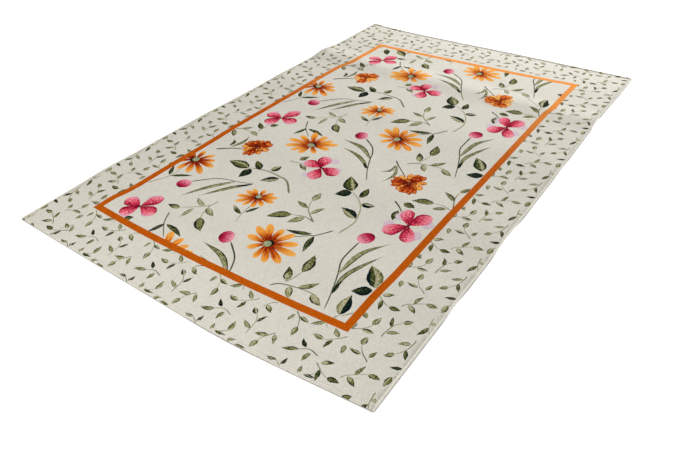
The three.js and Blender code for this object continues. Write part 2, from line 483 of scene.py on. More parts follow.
# %% Chart of the end borders
END_STEMS = [
    [(155, 142), (175, 125), (190, 100)],
    [(238, 140), (247, 128)],
    [(302, 128), (290, 115), (265, 98)],
    [(350, 137), (337, 132), (325, 112)],
    [(351, 28), (345, 68), (325, 93)],
    [(282, 53), (255, 60), (232, 50)],
    [(288, -3), (300, 5), (312, 15)],
    [(408, 60), (392, 38), (388, 23)],
    [(232, -7), (220, 0), (210, 5)],
]
# columns: foot x, foot y, tip x, tip y, width, tones
END_LEAVES = [
    [172, 130, 202, 123, 11, "right dark"],
    [158, 132, 155, 107, 9, "mid"],
    [188, 103, 193, 73, 14, "left olive"],
    [234, 142, 207, 122, 12, "olive"],
    [288, 117, 263, 138, 12, "mid"],
    [262, 97, 231, 101, 13, "left olive"],
    [281, 105, 276, 76, 10, "dark"],
    [330, 120, 357, 103, 13, "tipped"],
    [330, 85, 311, 101, 13, "left dark"],
    [348, 66, 358, 92, 9, "dark"],
    [350, 44, 319, 59, 11, "mid"],
    [235, 50, 200, 36, 12, "olive"],
    [245, 62, 222, 81, 10, "black"],
    [263, 53, 260, 26, 11, "olive"],
    [312, 13, 306, 46, 13, "left olive"],
    [275, -4, 270, 17, 9, "mid"],
    [289, -2, 320, 0, 9, "dark"],
    [388, 25, 384, 0, 14, "left olive"],
    [400, 47, 366, 38, 12, "mid"],
    [409, 56, 425, 29, 10, "mid"],
    [214, 4, 187, 4, 10, "olive"],
    [230, -3, 231, 20, 9, "dark"],
    [330, -9, 348, 3, 9, "mid"],
    [354, -9, 384, -8, 7, "olive"],
]


def border_repeat(stems, leaves):
    """The strokes of one border repeat."""
    group = []
    sprigs(group, [[BORDER_STEM, random.uniform(0.25, 0.75), *points] for points in stems], leaves)
    return group


print("strokes in one side repeat:", len(SIDE_STEMS) + len(SIDE_LEAVES))
print("strokes in one end repeat:", len(END_STEMS) + len(END_LEAVES))

# %% [markdown]
# ## Laying the print on the cloth
# The charts were read on the lying rug, whose edges bow, so `flatten` first takes the bows out.
# A print on woven cloth never runs quite evenly either. This one runs ahead towards the right
# edge's middle, by up to 50 mm, and the two drift tables say how far.

# %% Repeats and drift
# columns: place along, distance that the print runs ahead there
DRIFT_RIGHT = [
    [0, 0], [114, 4], [348, 17], [582, 30], [816, 40], [1050, 47], [1284, 49], [1518, 39], [1800, 16],
]
DRIFT_LEFT = [[0, -4], [348, -10], [582, -10], [816, -8], [1050, -2], [1284, 1], [1518, -13], [1800, -18]]
FIELD_REPEATS = [-630, 0, 624, 1236]
# how far the first pink flower of each repeat has slipped across
PINK_SHIFTS = [0, 0, 0, 25]
SIDE_PITCH = 234
END_START, END_PITCH = -6, 247
# the far border carries on the near one after whole pitches along, a little to the right
FAR_SHIFT, FAR_START, FAR_PITCH = 7 * SIDE_PITCH, 29, 238
MIRROR_SUM = 1190
# the end borders run between these places, the side borders past them up to the corners
END_LEFT, END_RIGHT = 137, 1040
# of the repeat that is cut by the near line, only the part left of this place shows
CUT_REPEAT_END = 700
# a stroke that lies this far past an end is left out
PAST_END = 5
# how much paler than charted the border is, as painted sheen that grows towards the far end: at the near
# end, its growth over the length, its most, and what the far left adds
PALE_NEAR, PALE_GROWTH, PALE_MOST, PALE_FAR_LEFT = 0.04, 0.6, 0.12, 0.1
# daisies grow paler by painted sheen beyond this share of the length, at this rate
DAISY_PALE_FROM, DAISY_PALE_GROWTH = 0.3, 0.5


def drift(across, along):
    s = across / WIDTH
    return curve(DRIFT_LEFT, along) * (1 - s) + curve(DRIFT_RIGHT, along) * s


def flatten(points):
    """Places on the printed cloth of points read on the lying rug, without bows or drift."""
    x, y = np.array(points, float).T
    s, t = x / WIDTH, y / LENGTH
    across = x + curve(LEFT_BOW, y) * (1 - s) - curve(RIGHT_BOW, y) * s
    along = y + curve(NEAR_BOW, x) * (1 - t) - curve(FAR_BOW, x) * t
    return np.column_stack([across, along - drift(across, along)])


# where the viewer stood: across, along and above the floor
EYE_ACROSS, EYE_ALONG, EYE_ABOVE = 1632, -608, 1041


def on_raised_face(points):
    """Places on the cloth's face of ones read as if it lay on the floor itself.

    A raised place is seen a little beyond its foot, so it moves towards the viewer.
    """
    rise = (CLOTH_THICK + lift(points[:, 0], points[:, 1]))[:, None]
    return points - (points - (EYE_ACROSS, EYE_ALONG)) * rise / EYE_ABOVE


def lay(group, shift_across=0.0, shift_along=0.0, mirrored=False, region="field", keep=lambda x: True):
    """Lays a group of charted strokes on the cloth, shifted by whole repeats."""
    for made in group:
        line = flatten(made["line"])
        if mirrored:
            line[:, 0] = MIRROR_SUM - line[:, 0]
        line += (shift_across, shift_along)
        if not keep(line[:, 0].mean()):
            continue
        line[:, 1] += drift(line[:, 0], line[:, 1])
        line = on_raised_face(line)
        if line[:, 1].max() < -PAST_END or line[:, 1].min() > LENGTH + PAST_END:
            continue
        tones = made["tones"]
        if region == "border":
            # the border's leaves and stems are paled by painted sheen, more towards the far end and the far
            # left
            place_x, place_y = line.mean(axis=0) / (WIDTH, LENGTH)
            place_y = max(place_y, 0)
            paler = min(PALE_MOST, PALE_NEAR + PALE_GROWTH * place_y)
            paler = float(paler + PALE_FAR_LEFT * place_y * (1 - place_x))
            tones = [tone if tone < 0 else max(0, tone - paler) for tone in tones]
        elif made["kind"] == "daisy":
            # painted sheen pales the daisies towards the far end
            beyond = np.clip(line[:, 1].mean() / LENGTH - DAISY_PALE_FROM, 0, 1)
            tones = [max(0, tone - float(DAISY_PALE_GROWTH * beyond)) for tone in tones]
        strokes.append({**made, "line": line, "tones": tones, "seed": random.random(), "region": region})


for shift in FIELD_REPEATS:
    lay(field, shift_along=shift, keep=lambda x: shift > FIELD_REPEATS[0] or x < CUT_REPEAT_END)

for shift_across, shift in zip(PINK_SHIFTS, FIELD_REPEATS):
    lay(first_pink, shift_across, shift)

# leaves that the repeats don't have alike: beside the right line, and at the last pink flower
odd_leaves = []
sprigs(odd_leaves, [
    [3.6, 0.5, (980, 165), (985, 180)], [3.6, 0.5, (1010, 203), (990, 178)],
    [3.6, 0.5, (1018, 318), (1003, 298)], [3.6, 0.5, (893, 1472), (930, 1440), (985, 1400)],
], [
    [1003, 300, 953, 365, 42, "left green"], [1005, 290, 962, 260, 31, "black"],
    [985, 180, 972, 250, 33, "right black"],
    [996, 910, 946, 975, 40, "left green"], [1010, 893, 962, 868, 30, "black"],
    [996, 1402, 988, 1472, 34, "right black"], [1060, 1535, 1000, 1532, 33, "black"],
    [270, 1585, 330, 1545, 34, "left green"], [222, 1575, 255, 1525, 26, "dark"],
])
lay(odd_leaves)

SIDE_REPEATS, END_REPEATS = range(-1, 8), range(-1, 5)
for repeat in SIDE_REPEATS:
    for mirrored in (False, True):
        group = border_repeat(SIDE_STEMS, SIDE_LEAVES)
        lay(group, shift_along=repeat * SIDE_PITCH, mirrored=mirrored, region="border")


def between_sides(x):
    return END_LEFT < x < END_RIGHT


for pitch, start, shift in ((END_PITCH, END_START, 0), (FAR_PITCH, FAR_START, FAR_SHIFT)):
    for repeat in END_REPEATS:
        group = border_repeat(END_STEMS, END_LEAVES)
        lay(group, repeat * pitch + start, shift, region="border", keep=between_sides)

LAYERS = ["stem", "leaf", "lobe", "pink", "marigold", "daisy", "heart", "eye", "bud"]
strokes.sort(key=lambda made: LAYERS.index(made["kind"]))
print("strokes on the whole rug:", len(strokes))

# %% [markdown]
# ## Cutting the print into the cloth
# All outlines go into one constrained triangulation of the flat cloth: the strokes, both edges
# of the orange line, the hem's steps and an even grid of points. Each triangle then lies inside
# or outside each outline, so it takes its colour from the topmost stroke that winds round its
# middle. Field strokes count only inside the orange line, and border strokes only outside it.

# %% The orange line
BAND_WIDTH = 21
# its centre line: along the rug against across, then across against along
BAND_NEAR = [[145, 161], [320, 157], [560, 159], [700, 163], [820, 167], [1023, 166]]
BAND_FAR = [[174, 1608], [400, 1614], [600, 1620], [800, 1627], [1030, 1641]]
BAND_LEFT = [
    [160, 144], [195, 144], [222, 144.5], [245, 151], [300, 157], [345, 157], [600, 158], [740, 154],
    [1200, 154], [1300, 156], [1345, 158], [1380, 165], [1402, 171.5], [1440, 174], [1500, 173.5],
    [1608, 172],
]
BAND_RIGHT = [
    [166, 1023], [240, 1022], [295, 1021.5], [345, 1024], [400, 1025], [600, 1024], [800, 1025],
    [1200, 1024], [1330, 1025], [1375, 1025], [1400, 1030.5], [1430, 1033], [1500, 1031.5], [1640, 1029.5],
]
GRID = 15


def band_outline(outwards):
    """One edge of the orange line, that far outside its centre line."""
    def run(start, end):
        return np.linspace(start, end, round(abs(end - start) / GRID), endpoint=False)

    left_near, right_near = BAND_LEFT[0][1] - outwards, BAND_RIGHT[0][1] + outwards
    left_far, right_far = BAND_LEFT[-1][1] - outwards, BAND_RIGHT[-1][1] + outwards
    near_left, near_right = curve(BAND_NEAR, BAND_NEAR[0][0]), curve(BAND_NEAR, BAND_NEAR[-1][0])
    far_left, far_right = curve(BAND_FAR, BAND_FAR[0][0]), curve(BAND_FAR, BAND_FAR[-1][0])
    near_x, far_x = run(left_near, right_near), run(right_far, left_far)
    right_y = run(near_right - outwards, far_right + outwards)
    left_y = run(far_left + outwards, near_left - outwards)
    return np.vstack([
        np.column_stack([near_x, curve(BAND_NEAR, near_x) - outwards]),
        np.column_stack([curve(BAND_RIGHT, right_y) + outwards, right_y]),
        np.column_stack([far_x, curve(BAND_FAR, far_x) + outwards]),
        np.column_stack([curve(BAND_LEFT, left_y) - outwards, left_y]),
    ])


# %% Outlines of the strokes
# a stroke's least half width, and the half width under which its end is a point
LEAST_HALF, POINTED_HALF = 0.12, 0.2


def stroke_outline(made):
    """The closed outline of a stroke, roughened a little as the ribs of the weave do."""
    line, half = made["line"], made["half"]
    ahead = np.gradient(line, axis=0)
    ahead /= np.linalg.norm(ahead, axis=1, keepdims=True)
    sideways = np.column_stack([-ahead[:, 1], ahead[:, 0]])
    left = np.maximum(LEAST_HALF, half + rng.normal(0, made["rough"], len(half)))[:, None]
    right = np.maximum(LEAST_HALF, half + rng.normal(0, made["rough"], len(half)))[:, None]
    pointed_foot, pointed_tip = half[0] < POINTED_HALF, half[-1] < POINTED_HALF
    left_side, right_side = line + sideways * left, line - sideways * right
    if pointed_foot:
        left_side[0] = line[0]
    if pointed_tip:
        left_side[-1] = line[-1]
    first, last = int(pointed_foot), len(line) - int(pointed_tip)
    return np.vstack([left_side, right_side[first:last][::-1]])


# %% One triangulation for the whole printed face
# the cloth's cut sides are hidden in the wound yarn
SIDE_INSET = 5.4
# lines across the cloth that give its hem a crisp shape, as distances from the end
HEM_LINES = [0.4, 1.2, 2.5, 9, 11, 12.6]

flat_points, flat_edges = [], []


def add_ring(ring):
    """Adds a closed outline to the triangulation, and returns it."""
    start, count = len(flat_points), len(ring)
    flat_points.extend(ring.tolist())
    flat_edges.extend([start + i, start + (i + 1) % count] for i in range(count))
    return ring


def add_hem_lines(points, edges, distances, across):
    """Adds lines across the cloth at some distances from its near end, then from its far end."""
    for along in distances + [LENGTH - distance for distance in distances]:
        start = len(points)
        points.extend([x, along] for x in across)
        edges.extend([start + i, start + i + 1] for i in range(len(across) - 1))


def windings(ring, places):
    """How many times a closed outline winds round each of some places."""
    turns = np.zeros(len(places), int)
    for (x0, y0), (x1, y1) in zip(ring, np.roll(ring, -1, axis=0)):
        side = (x1 - x0) * (places[:, 1] - y0) - (y1 - y0) * (places[:, 0] - x0)
        turns += (y0 <= places[:, 1]) & (places[:, 1] < y1) & (side > 0)
        turns -= (y1 <= places[:, 1]) & (places[:, 1] < y0) & (side < 0)
    return turns


def stops(start, end, spacing):
    return np.linspace(start, end, round((end - start) / spacing) + 1)


across_stops = stops(SIDE_INSET, WIDTH - SIDE_INSET, GRID)
along_stops = stops(0, LENGTH, GRID)
near_side = np.column_stack([across_stops, np.zeros_like(across_stops)])
far_side = near_side[::-1] + (0, LENGTH)
right_side = np.column_stack([np.full_like(along_stops, WIDTH - SIDE_INSET), along_stops])
left_side = np.column_stack([np.full_like(along_stops, SIDE_INSET), along_stops[::-1]])
add_ring(np.vstack([near_side, right_side[1:-1], far_side, left_side[1:-1]]))
band_outer = add_ring(on_raised_face(band_outline(BAND_WIDTH / 2)))
band_inner = add_ring(on_raised_face(band_outline(-BAND_WIDTH / 2)))
stroke_rings = [add_ring(stroke_outline(made)) for made in strokes]
add_hem_lines(flat_points, flat_edges, HEM_LINES, across_stops)

# an even grid fills the rest, clear of the outlines so that no sliver arises
GRID_CLEARANCE = 4
near_points = kdtree.KDTree(len(flat_points))
for i, (x, y) in enumerate(flat_points):
    near_points.insert((x, y, 0), i)
near_points.balance()
for y in along_stops[1:-1]:
    for x in across_stops[1:-1]:
        if near_points.find((x, y, 0))[2] > GRID_CLEARANCE:
            flat_points.append([x, y])

# points closer than this are one
SAME_POINT = 1e-4
cut = delaunay_2d_cdt([Vector(p) for p in flat_points], flat_edges, [], 0, SAME_POINT, False)
face_points = np.array([tuple(p) for p in cut[0]])
triangles = np.array(cut[2])
print("printed face:", len(face_points), "points,", len(triangles), "triangles")

# %% The colour of each triangle
KINDS = ["ground", "band"] + LAYERS


def turned_left(points, triangles):
    """The triangles, each in counterclockwise order."""
    a, b, c = (points[triangles[:, k]] for k in range(3))
    doubled_area = (b[:, 0] - a[:, 0]) * (c[:, 1] - a[:, 1]) - (b[:, 1] - a[:, 1]) * (c[:, 0] - a[:, 0])
    return np.where(doubled_area[:, None] > 0, triangles, triangles[:, ::-1])


triangles = turned_left(face_points, triangles)
middles = face_points[triangles].mean(axis=1)
on_cloth = (np.abs(middles[:, 0] - WIDTH / 2) < WIDTH / 2 - SIDE_INSET) & (
    np.abs(middles[:, 1] - LENGTH / 2) < LENGTH / 2)
triangles, middles = triangles[on_cloth], middles[on_cloth]

in_field = windings(band_inner, middles) != 0
in_band = (windings(band_outer, middles) != 0) & ~in_field
open_to = {"field": in_field, "border": ~in_field & ~in_band}
kinds = np.where(in_band, KINDS.index("band"), KINDS.index("ground"))
owners = np.full(len(triangles), -1)
by_row = np.argsort(middles[:, 1])
rows_sorted = middles[by_row, 1]
for number, (made, ring) in enumerate(zip(strokes, stroke_rings)):
    first, last = np.searchsorted(rows_sorted, [ring[:, 1].min(), ring[:, 1].max()])
    near = by_row[first:last]
    across_here = middles[near, 0]
    near = near[(across_here > ring[:, 0].min()) & (across_here < ring[:, 0].max())]
    near = near[open_to[made["region"]][near]]
    covered = near[windings(ring, middles[near]) != 0]
    kinds[covered] = KINDS.index(made["kind"])
    owners[covered] = number

used, top_triangles = np.unique(triangles, return_inverse=True)
top_triangles = top_triangles.reshape(-1, 3).tolist()
face_points = face_points[used]
print("kept", len(top_triangles), "triangles;", {k: int((kinds == i).sum()) for i, k in enumerate(KINDS)})

# %% [markdown]
# ## The cloth's underside and edges
# The hem's fold is a half round from the printed face to the underside, so both meet at half
# the hem's height there. The long sides are closed by upright strips, out of sight inside the
# wound yarn. The underside is a coarser triangulation with the same points on its rim.

# %% Heights of the two faces
UNEVEN_HEIGHT = 0.35
# sharp creases left by the folding: place at left, at right, half width, height
CREASES = [[1398, 1372, 15, 1.0], [1110, 1045, 30, 0.3], [730, 640, 34, 0.4]]


def uneven(across, along):
    """Slight hollows and swells of the lying cloth, from waves of unlike lengths in mm."""
    slow = np.sin(across / 47 + 2.1 * np.sin(along / 83)) * np.sin(along / 39 + 1.7 * np.sin(across / 71))
    quick = np.sin(across / 19 + along / 31) * np.sin(along / 17 - across / 43)
    inside = np.clip((np.minimum(along, LENGTH - along) - 12) / 20, 0, 1)
    creased = sum(height * bump(along - left - (right - left) * across / WIDTH, half)
                  for left, right, half, height in CREASES)
    return creased + UNEVEN_HEIGHT * inside * (0.7 * slow + 0.3 * quick)


def fold(from_end):
    """The fold's half round: 0 at the end, 1 where it has run out."""
    inside = np.clip(1 - from_end / HEM_ROUND, 0, 1)
    return np.sqrt(1 - inside**2)


def top_height(across, along):
    from_end = np.minimum(along, LENGTH - along)
    past_hem = np.clip((from_end - (HEM_DEPTH - 1)) / HEM_STEP, 0, 1)
    full = HEM_THICK + (CLOTH_THICK - HEM_THICK) * past_hem
    return HEM_THICK / 2 + (full - HEM_THICK / 2) * fold(from_end) + uneven(across, along)


def under_height(along):
    return HEM_THICK / 2 * (1 - fold(np.minimum(along, LENGTH - along)))


# %% The rim, the underside and the strips between them
half_edges = {}
for triangle in top_triangles:
    for a, b in zip(triangle, triangle[1:] + triangle[:1]):
        half_edges[(a, b)] = True
follows = {a: b for a, b in half_edges if (b, a) not in half_edges}
rim = [next(iter(follows))]
while follows[rim[-1]] != rim[0]:
    rim.append(follows[rim[-1]])

UNDER_GRID = 28
ON_END = 0.01
rim_points = face_points[rim]
under_points = rim_points.tolist()
under_edges = []
under_stops = stops(SIDE_INSET, WIDTH - SIDE_INSET, UNDER_GRID)[1:-1]
add_hem_lines(under_points, under_edges, HEM_LINES[:3], under_stops)
for y in stops(0, LENGTH, UNDER_GRID)[1:-1]:
    under_points += [[x, y] for x in under_stops]
under_cut = delaunay_2d_cdt([Vector(p) for p in under_points], under_edges, [list(range(len(rim)))],
                            1, SAME_POINT, True)

top_count = len(face_points)
all_flat = face_points.tolist()
under_number = []
for sources, point in zip(under_cut[3], under_cut[0]):
    on_rim = [i for i in sources if i < len(rim)]
    if on_rim and min(point[1], LENGTH - point[1]) < ON_END:
        under_number.append(rim[on_rim[0]])
    else:
        under_number.append(len(all_flat))
        all_flat.append(list(point))
rim_below = {}
for sources, number in zip(under_cut[3], under_number):
    for i in sources:
        if i < len(rim):
            rim_below[rim[i]] = number

under_flat = np.array([tuple(p) for p in under_cut[0]])
facing_down = turned_left(under_flat, np.array(under_cut[2]))[:, ::-1]
under_triangles = np.array(under_number)[facing_down].tolist()

wall_triangles = []
for a, b in follows.items():
    below_a, below_b = rim_below[a], rim_below[b]
    for triangle in ([a, below_a, below_b], [a, below_b, b]):
        if len(set(triangle)) == 3:
            wall_triangles.append(triangle)

all_flat = np.array(all_flat)
heights = np.concatenate([
    top_height(all_flat[:top_count, 0], all_flat[:top_count, 1]),
    under_height(all_flat[top_count:, 1]),
])
vertices = laid(all_flat[:, 0], all_flat[:, 1], heights)
hidden = under_triangles + wall_triangles
print("underside:", len(under_triangles), "triangles, side strips:", len(wall_triangles))

# %% Build the cloth's mesh
def new_object(name, data):
    """An object of the scene that shows the data."""
    made = bpy.data.objects.new(name, data)
    bpy.context.scene.collection.objects.link(made)
    return made


rug_mesh = bpy.data.meshes.new("printed_rug")
rug_mesh.from_pydata(vertices.tolist(), [], top_triangles + hidden)
rug_mesh.validate()
rug = new_object("printed_rug", rug_mesh)
material_numbers = np.concatenate([kinds, np.full(len(hidden), len(KINDS))]).astype(np.int32)
rug_mesh.polygons.foreach_set("material_index", material_numbers)
rug_mesh.polygons.foreach_set("use_smooth", np.ones(len(material_numbers), bool))
print("rug:", len(rug_mesh.polygons), "triangles")

# %% [markdown]
# ## Where each point lies in its brush stroke
# The finishes need to know how far along and across its stroke a point lies, so that a petal
# can darken towards its foot and a leaf can have two halves. Two attributes on the triangles'
# corners hold that: `brush` with the place along (0 to 1), the place across (-1 to 1) and a
# number of the stroke's own, and `tones` with the stroke's three tones.

# %% Write the brush attributes and the map for baking
# a place across counts against at least this share of its stroke's widest
LEAST_SHARE = 0.35
corner_flat = all_flat[np.array(top_triangles).ravel()]
corner_owner = np.repeat(owners, 3)
brush = np.zeros((3 * len(rug_mesh.polygons), 3), np.float32)
tones = np.zeros_like(brush)
order = np.argsort(corner_owner, kind="stable")
starts = np.searchsorted(corner_owner[order], np.arange(len(strokes) + 1))
for number, made in enumerate(strokes):
    corners = order[starts[number]:starts[number + 1]]
    if not len(corners):
        continue
    line, half = made["line"], made["half"]
    from_start, span = line[:-1], np.diff(line, axis=0)
    offset = corner_flat[corners][:, None, :] - from_start[None]
    t = np.clip((offset * span).sum(-1) / (span**2).sum(-1), 0, 1)
    away = offset - t[..., None] * span
    nearest = np.argmin((away**2).sum(-1), axis=1)
    pick = np.arange(len(corners)), nearest
    place = nearest + t[pick]
    side = span[nearest, 0] * offset[pick][:, 1] - span[nearest, 1] * offset[pick][:, 0]
    distance = np.linalg.norm(away[pick], axis=1) * np.sign(side)
    width_here = np.maximum(LEAST_SHARE * half.max(), np.interp(place, np.arange(len(half)), half))
    brush[corners, 0] = np.interp(place, np.arange(len(line)), made["steps"])
    brush[corners, 1] = np.clip(distance / width_here, -1, 1)
    brush[corners, 2] = made["seed"]
    tones[corners] = made["tones"]

for name, values in (("brush", brush), ("tones", tones)):
    attribute = rug_mesh.attributes.new(name, "FLOAT_VECTOR", "CORNER")
    attribute.data.foreach_set("vector", values.ravel())

# the furrow beside the hem's stitches gets painted shade: the colour is darkened there
FURROW_HALF = 1.5
from_seam = np.abs(np.minimum(all_flat[:, 1], LENGTH - all_flat[:, 1]) - (HEM_DEPTH + 1))
painted_seam_shade = rug_mesh.attributes.new("painted_seam_shade", "FLOAT", "POINT")
painted_seam_shade.data.foreach_set("value", np.clip(1 - from_seam / FURROW_HALF, 0, 1))

# the printed face fills the lower two thirds of the map, the plain faces the rest
MAP_MARGIN, MAP_LENGTH, PRINT_SHARE = 0.004, 0.992, 0.66
PLAIN_FROM, PLAIN_SHARE = 0.67, 0.32
bake_map = rug_mesh.uv_layers.new(name="OFBake")
corner_points = all_flat[np.array(top_triangles + hidden).ravel()]
u = MAP_MARGIN + MAP_LENGTH * corner_points[:, 1] / LENGTH
v = MAP_MARGIN + PRINT_SHARE * corner_points[:, 0] / WIDTH
plain = np.arange(len(u)) >= 3 * len(top_triangles)
v[plain] = PLAIN_FROM + PLAIN_SHARE * corner_points[plain, 0] / WIDTH
bake_map.data.foreach_set("uv", np.column_stack([u, v]).astype(np.float32).ravel())
print("corners with a stroke:", int((corner_owner >= 0).sum()))

# %% [markdown]
# ## Weave and brush marks, shared by all finishes
# A flat weave shows ribs that run across the rug, each made of short yarn stretches set off
# from those in the next rib. One node group makes that from a brick pattern with soft joints.
# A second one turns the brush attributes into masks: streaks along the stroke, blotches where
# the paint pooled, the grain of the weave in the print, and the stroke's rim.

# %% Helpers that add nodes with their values and links
def add(tree, kind, inputs=None, **settings):
    node = tree.nodes.new(kind)
    for setting, value in settings.items():
        setattr(node, setting, value)
    for socket, value in (inputs or {}).items():
        if isinstance(value, bpy.types.NodeSocket):
            tree.links.new(value, node.inputs[socket])
        else:
            node.inputs[socket].default_value = value
    return node


def maths(tree, operation, first, second=0.0, third=0.0):
    return add(tree, "ShaderNodeMath", {0: first, 1: second, 2: third}, operation=operation).outputs[0]


def times(tree, first, second):
    return maths(tree, "MULTIPLY", first, second)


def swayed(tree, value, mask, middle, strength):
    """A value moved up or down by how far a mask is from its middle."""
    return maths(tree, "MULTIPLY_ADD", maths(tree, "SUBTRACT", mask, middle), strength, value)


def noise(tree, vector, scale, detail, roughness=0.5):
    inputs = {"Vector": vector, "Scale": scale, "Detail": detail, "Roughness": roughness}
    return add(tree, "ShaderNodeTexNoise", inputs).outputs[0]


def between(tree, value, low, high, to_low=0.0, to_high=1.0):
    """A soft step of a value from one number to another."""
    inputs = {"Value": value, "From Min": low, "From Max": high, "To Min": to_low, "To Max": to_high}
    return add(tree, "ShaderNodeMapRange", inputs, interpolation_type="SMOOTHSTEP").outputs[0]


def blend(tree, factor, first, second, mode="MIX"):
    """Mixes two colours."""
    node = add(tree, "ShaderNodeMix", data_type="RGBA", blend_type=mode)
    for socket, value in ((node.inputs[0], factor), (node.inputs[6], first), (node.inputs[7], second)):
        if isinstance(value, bpy.types.NodeSocket):
            tree.links.new(value, socket)
        else:
            socket.default_value = value
    return node.outputs[2]


def new_group(name, inputs, outputs):
    """A shader group with named inputs, which are (name, default), and named outputs."""
    group = bpy.data.node_groups.new(name, "ShaderNodeTree")
    for label, default in inputs:
        socket = group.interface.new_socket(label, in_out="INPUT", socket_type="NodeSocketFloat")
        socket.default_value = default
    for label in outputs:
        group.interface.new_socket(label, in_out="OUTPUT", socket_type="NodeSocketFloat")
    return group, group.nodes.new("NodeGroupInput"), group.nodes.new("NodeGroupOutput")


# %% Group for the flat weave
RIB_PITCH, YARN_STRETCH = 2.3, 4.1
weave, weave_in, weave_out = new_group(
    "flat_weave", [("Rib Pitch mm", RIB_PITCH), ("Yarn Length mm", YARN_STRETCH)],
    ["Height", "Fleck", "Joint"])
coordinates = add(weave, "ShaderNodeTexCoord").outputs["Object"]
wander = add(weave, "ShaderNodeTexNoise", {"Vector": coordinates, "Scale": 60.0, "Detail": 2.0})
shaken = add(weave, "ShaderNodeVectorMath", {0: wander.outputs["Color"], 1: (0.0012, 0.0009, 0)},
             operation="MULTIPLY")
moved = add(weave, "ShaderNodeVectorMath", {0: coordinates, 1: shaken.outputs[0]}, operation="ADD")
bricks = add(weave, "ShaderNodeTexBrick", {
    "Vector": moved.outputs[0], "Scale": 1000.0, "Mortar Size": 0.42, "Mortar Smooth": 1.0,
    "Color1": (0, 0, 0, 1), "Color2": (1, 1, 1, 1), "Mortar": (0.35, 0.35, 0.35, 1),
    "Brick Width": weave_in.outputs["Yarn Length mm"], "Row Height": weave_in.outputs["Rib Pitch mm"],
})
joint = bricks.outputs["Fac"]
fuzz = noise(weave, coordinates, 900.0, 3.0)
raised = maths(weave, "SUBTRACT", 1.0, joint)
height = maths(weave, "MULTIPLY_ADD", fuzz, 0.35, raised)
weave.links.new(height, weave_out.inputs["Height"])
weave.links.new(bricks.outputs["Color"], weave_out.inputs["Fleck"])
weave.links.new(joint, weave_out.inputs["Joint"])

# %% Group for the brush marks
STREAK_COUNT, BLOTCH_SIZE = 5.0, 9.0
MARKS = ["Along", "Across", "Seed", "Left Tone", "Right Tone", "Tip Tone", "Streaks", "Blotches", "Mottle",
         "Grain", "Rim"]
marks, marks_in, marks_out = new_group(
    "brush_marks", [("Streak Count", STREAK_COUNT), ("Blotch Size mm", BLOTCH_SIZE)], MARKS)
place = add(marks, "ShaderNodeSeparateXYZ", {
    0: add(marks, "ShaderNodeAttribute", attribute_name="brush").outputs["Vector"]})
tone = add(marks, "ShaderNodeSeparateXYZ", {
    0: add(marks, "ShaderNodeAttribute", attribute_name="tones").outputs["Vector"]})
along, across, seed = place.outputs
streak_place = add(marks, "ShaderNodeCombineXYZ", {
    0: times(marks, along, 2.2),
    1: times(marks, across, marks_in.outputs["Streak Count"]),
    2: times(marks, seed, 90.0),
})
streaks = noise(marks, streak_place.outputs[0], 1.0, 3.0, 0.6)
coordinates = add(marks, "ShaderNodeTexCoord").outputs["Object"]
blotch_scale = maths(marks, "DIVIDE", 1000.0, marks_in.outputs["Blotch Size mm"])
blotches = noise(marks, coordinates, blotch_scale, 2.0, 0.55)
mottle = noise(marks, coordinates, 240.0, 3.0, 0.65)
# the grain is longer across the rug than along it, as the ribs are
stretched = add(marks, "ShaderNodeVectorMath", {0: coordinates, 1: (260.0, 620.0, 400.0)},
                operation="MULTIPLY")
grain = noise(marks, stretched.outputs[0], 1.0, 2.0)
rim = between(marks, maths(marks, "ABSOLUTE", across), 0.66, 0.86)
for label, value in zip(MARKS, [along, across, seed, *tone.outputs, streaks, blotches, mottle, grain, rim]):
    marks.links.new(value, marks_out.inputs[label])
print("groups:", weave.name, "and", marks.name)

# %% [markdown]
# ## The finishes of the print
# Dyed cloth is matt, so every finish has a high roughness, hardly any gloss and the weave as
# bump. The flecks of single yarns and the joints between them show in the colour too, which
# keeps the print from looking like paint on a board.

# %% Frame of every printed finish
WEAVE_DEPTH = 0.00045
# how much painted shade darkens the furrow beside the hem's stitches
SEAM_SHADE = 0.2


def blank_material(name):
    material = bpy.data.materials.new(name)
    material.use_nodes = True
    material.node_tree.nodes.clear()
    return material, material.node_tree


def printed(name, paint, fleck=0.07, joint_dark=0.18):
    """A material of the woven cloth whose colour comes from paint(tree, marks' outputs), darkened by
    painted shade along the hem's furrow.
    """
    material, tree = blank_material(name)
    cloth = add(tree, "ShaderNodeGroup", {
        "Rib Pitch mm": RIB_PITCH, "Yarn Length mm": YARN_STRETCH}, node_tree=weave)
    brush_group = add(tree, "ShaderNodeGroup", {
        "Streak Count": STREAK_COUNT, "Blotch Size mm": BLOTCH_SIZE}, node_tree=marks)
    colour = paint(tree, brush_group.outputs)
    flecked = maths(tree, "MULTIPLY_ADD", cloth.outputs["Fleck"], 2 * fleck, 1 - fleck)
    shade = maths(tree, "MULTIPLY_ADD", cloth.outputs["Joint"], -joint_dark, flecked)
    # painted shade: the colour darkens along the furrow beside the hem's stitches
    painted_seam_shade_here = add(tree, "ShaderNodeAttribute", attribute_name="painted_seam_shade").outputs["Fac"]
    shade = times(tree, shade, maths(tree, "MULTIPLY_ADD", painted_seam_shade_here, -SEAM_SHADE, 1.0))
    grey = add(tree, "ShaderNodeCombineXYZ", {0: shade, 1: shade, 2: shade}).outputs[0]
    colour = blend(tree, 1.0, colour, grey, "MULTIPLY")
    relief = add(tree, "ShaderNodeBump", {
        "Strength": 0.55, "Distance": WEAVE_DEPTH, "Height": cloth.outputs["Height"]})
    shader = add(tree, "ShaderNodeBsdfPrincipled", {
        "Base Color": colour, "Roughness": 0.95, "Specular IOR Level": 0.04, "Normal": relief.outputs[0]})
    tree.links.new(shader.outputs[0], add(tree, "ShaderNodeOutputMaterial").inputs[0])
    return material


